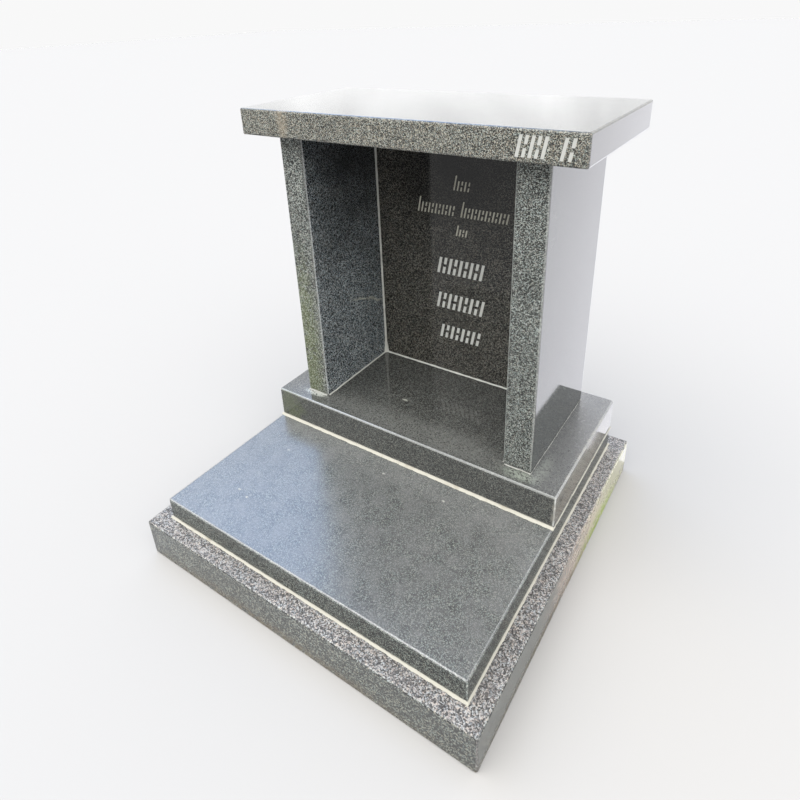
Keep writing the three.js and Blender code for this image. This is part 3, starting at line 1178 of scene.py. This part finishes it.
def stone_finishes() -> dict[str, Granite]:
    """Says how each stone is worked and what has settled on it.

    Returns:
        The granite of each of the frame's stones.
    """
    base = Granite(
        "polished_granite",
        Polish.MIRROR,
        ((0, "#040505"), (0.33, "#0e1010"), (0.53, "#222625"), (0.71, "#4f5352"), (0.88, "#979a93")),
        film=0.17,
        tone=0.33,
        arris=0.9,
        arris_colour="#d0d2d0",
        patches=(
            # Olive growth at the left end of the front.
            Patch("#414a26", (-278, -8, 150), (52, 10, 60), 0.5, 16.0, 0.08, 0.0),
            # Sealant smeared in front of the right pillar and beside it, and in front of the left one.
            Patch("#7d847a", (232, 12, 186), (46, 18, 8), 0.6, 4.0, 0.5, 0.25),
            Patch("#7a8078", (262, 46, 186), (17, 56, 8), 0.5, 4.0, 0.5, 0.35),
            Patch("#9da09a", (-226, 18, 186), (36, 10, 8), 0.75, 4.0, 0.6, 0.15),
            # Dried rain along the front, and an upright edge painted darker, so that the pale edge line,
            # partly a painted highlight, is fainter there.
            Patch("#6a6b69", (0, 22, 186), (330, 52, 8), 0.42, 3.5, 0.3, 0.3),
            Patch("#505250", (305, -8, 143), (7, 7, 60), 0.75, 14.0, 0.3, -0.2),
            # A dull strip of the top on the right, lime on the right side, and a drop in the niche.
            Patch("#3a3b3a", (280, 150, 186), (52, 290, 8), 0.42, 4.0, 0.85, 0.0),
            Patch("#999386", (305, 130, 140), (8, 250, 60), 0.4, 14.0, 0.25, -0.2),
            Patch("#96988f", (-52, 93, 186), (9, 4, 4), 0.7, 4.0, 0.6, 0.1),
        ),
    )
    specks = ((-10, -47), (-211, -91), (120, -49), (-213, -219), (-186, -226))
    ledger = Granite(
        "dusty_polished_granite",
        Polish.MIRROR,
        film=0.55,
        film_colour="#5c5c5c",
        gloss=0.26,
        tone=0.92,
        patches=tuple(Patch("#a5a49a", (x, y, 119.5), (4.5, 3, 3), 0.7, 1.6, 0.8, 0.5) for x, y in specks),
    )
    cap = Granite(
        "cap_granite",
        Polish.HONED_FRONT,
        grain_mm=1.0,
        buff=(1.2, 0.96, 0.76, 1.0),
        tone=0.62,
        # A buff stain near the left end of the front.
        patches=(Patch("#8f8473", (-207, -6, 748), (17, 9, 46), 0.4, 8.0, 0.6, 0.1),),
    )
    left = Granite(
        "left_pillar_granite",
        Polish.HONED_FRONT,
        grain_mm=1.45,
        # The side in the niche is painted lighter: painted light, as if more light reached it.
        inner=(4.0, 4.0, 4.6),
        tone=0.58,
        arris=0.4,
        patches=(
            # Olive growth low on the front. The side in the niche is painted darker towards its top: painted
            # shade under the cap.
            Patch("#5c6626", (-236, 24, 290), (40, 14, 260), 0.3, 9.0, 0.7, 0.0),
            Patch("#07090a", (-197, 170, 700), (12, 300, 380), 0.84, 60.0, 0.06, -0.6, 0.7, 1.0),
        ),
        vein_mm=(-197, 182, 342),
    )
    right = Granite("right_pillar_granite", Polish.HONED_FRONT, tone=0.54, arris=0.3)
    panel = Granite(
        "black_granite",
        Polish.MIRROR,
        ((0, "#050505"), (0.28, "#0d0d0d"), (0.50, "#1f1f1e"), (0.72, "#3d3c39"), (0.90, "#6b6963")),
        grain_mm=1.4,
        index=1.38,
        # The panel too is painted darker towards its top: painted shade under the cap.
        patches=(Patch("#070707", (0, 233, 690), (260, 14, 330), 0.93, 60.0, 0.05, -0.6, 0.7, 1.0),),
    )
    foundation = Granite(
        "sub_base_granite",
        Polish.SAWN_TOP,
        honed=((0, "#242323"), (0.25, "#3c3b3c"), (0.45, "#565456"), (0.68, "#6f6d6e"), (0.88, "#939090")),
        grain_mm=2.0,
        gloss=0.12,
        tone=0.91,
        buff=(1.08, 0.98, 0.87, 1.0),
        patches=(
            # The right side is painted pale, yellowish at the back and buff in the middle: partly lime and
            # clay washed down it, partly a painted reflection of the bright ground beside it. Moss along its
            # foot.
            Patch("#b1af92", (340, 225, 44), (16, 240, 84), 0.75, 19.0, 0.3, -0.2, facing="X"),
            Patch("#a8968a", (340, 50, 40), (16, 190, 80), 0.6, 17.0, 0.35, 0.0, facing="X"),
            Patch("#7d962b", (340, 150, 2), (16, 170, 50), 0.85, 9.0, 0.7, 0.25),
            # Soil splashed on the foot of each side.
            Patch("#5a4c38", (340, -80, 0), (16, 420, 34), 0.6, 13.0, 0.8, 0.25),
            Patch("#5a4c38", (-40, -340, 0), (480, 16, 32), 0.5, 13.0, 0.8, 0.3),
            Patch("#5a4c38", (-340, -40, 0), (16, 480, 32), 0.5, 13.0, 0.8, 0.3),
            Patch("#5a4c38", (40, 340, 0), (480, 16, 32), 0.5, 13.0, 0.8, 0.3),
        ),
    )
    return {
        "cap": cap,
        "left_pillar": left,
        "right_pillar": right,
        "base": base,
        "ledger": ledger,
        "inscription_panel": panel,
        "sub_base": foundation,
    }


def main() -> None:
    """Builds every sub-assembly in order."""
    logging.basicConfig(level=logging.INFO, format="%(message)s")
    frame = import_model()
    Viewpoint().build()
    Studio().build()
    finishes = stone_finishes()
    Stones(finishes, frame["nodes"]).dress()
    for bead in joint_beads():
        bead.build()
    panel_rows = (
        Row((39,), 404, 29, Stroke.FINE),
        Row((87, 104), 353, 31, Stroke.FINE),
        Row((28,), 314, 22, Stroke.FINE),
    )
    bold_rows = (
        Row((108,), 229, 35, Stroke.BOLD, -3),
        Row((112,), 151, 35, Stroke.BOLD, -3),
        Row((97,), 81, 31, Stroke.BOLD, -3),
    )
    cap_rows = (Row((46.5, 21.5), 7.5, 29.5, Stroke.NARROW, 206.3 + 41.2, 14.4),)
    Inscription("panel_fine_rows", "inscription_panel", panel_rows, SILVER_PAINT).build()
    Inscription("panel_bold_rows", "inscription_panel", bold_rows, WHITE_PAINT).build()
    Inscription("cap_mark", "cap", cap_rows, CAP_PAINT).build()


if __name__ == "__main__":
    main()
